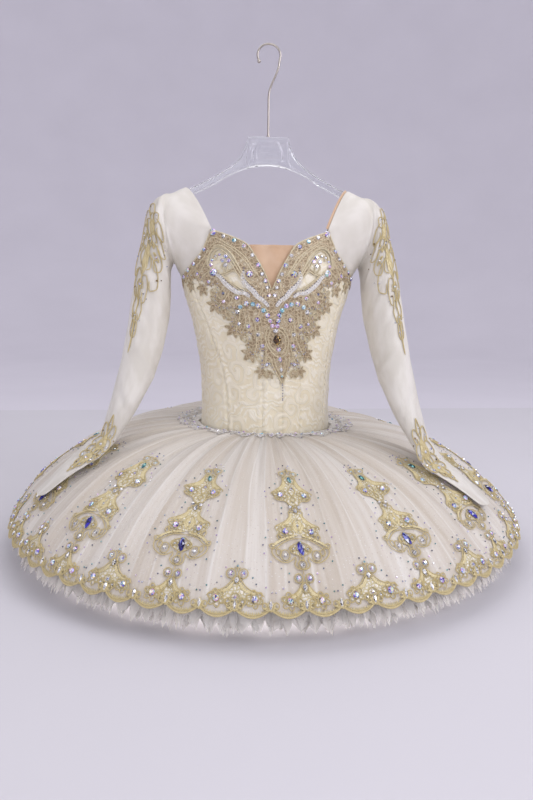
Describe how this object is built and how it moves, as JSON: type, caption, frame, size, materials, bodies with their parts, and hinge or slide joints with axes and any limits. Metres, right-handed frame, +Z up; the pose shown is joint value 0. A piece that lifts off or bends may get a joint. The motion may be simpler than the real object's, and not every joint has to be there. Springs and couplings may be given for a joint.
{
  "type": "ballet tutu on a hanger",
  "caption": "Classical ballet tutu with boned bodice, sheer long sleeves and a stiff flat skirt under raised lace, hanging on a clear hanger.",
  "frame": {"origin": "inner top of the hanger's hook, where a rail holds it", "axes": "+Z up along the hook's shaft, -Y out of the garment's front, -X towards the wearer's right"},
  "size_m": [0.937, 0.9345, 0.9326],
  "materials": {
    "brocade": "ivory jacquard, soft sheen",
    "net": "stiffened nylon net, matte",
    "mesh": "sheer stretch mesh, matte",
    "skin_tone": "stretch mesh, matte",
    "gold_lace": "corded metallic lace",
    "taupe_lace": "antique gold corded lace",
    "silver_lace": "beaded silver lace",
    "clear_plastic": "clear moulded polystyrene",
    "steel": "bright plated wire"
  },
  "bodies": {
    "root": {"bodice_back_left": "brocade", "bodice_back_right": "brocade", "bodice_centre_front_left": "brocade", "bodice_centre_front_right": "brocade", "bodice_front_left": "brocade", "bodice_front_right": "brocade", "bodice_side_back_left": "brocade", "bodice_side_back_right": "brocade", "bodice_side_front_left": "brocade", "bodice_side_front_right": "brocade", "brief_back": "net", "brief_front": "net", "hanger": "clear_plastic", "hanger_hook": "steel", "hem_lace_left": "gold_lace", "hem_lace_right": "gold_lace", "modesty_panel": "skin_tone", "neckline_lace": "taupe_lace", "skirt_motif_01": "gold_lace", "skirt_motif_02": "gold_lace", "skirt_motif_03": "gold_lace", "skirt_motif_04": "gold_lace", "skirt_motif_05": "gold_lace", "skirt_motif_06": "gold_lace", "skirt_motif_07": "gold_lace", "skirt_motif_08": "gold_lace", "skirt_motif_09": "gold_lace", "skirt_motif_10": "gold_lace", "skirt_motif_11": "gold_lace", "skirt_motif_12": "gold_lace", "skirt_motif_13": "gold_lace", "skirt_motif_14": "gold_lace", "skirt_motif_15": "gold_lace", "skirt_motif_16": "gold_lace", "skirt_top": "net", "skirt_under_1": "net", "skirt_under_2": "net", "sleeve_left": "mesh", "sleeve_left_cuff_lace": "gold_lace", "sleeve_left_upper_lace": "gold_lace", "sleeve_right": "mesh", "sleeve_right_cuff_lace": "gold_lace", "sleeve_right_upper_lace": "gold_lace", "waist_lace_left": "silver_lace", "waist_lace_right": "silver_lace"}
  },
  "joints": []
}
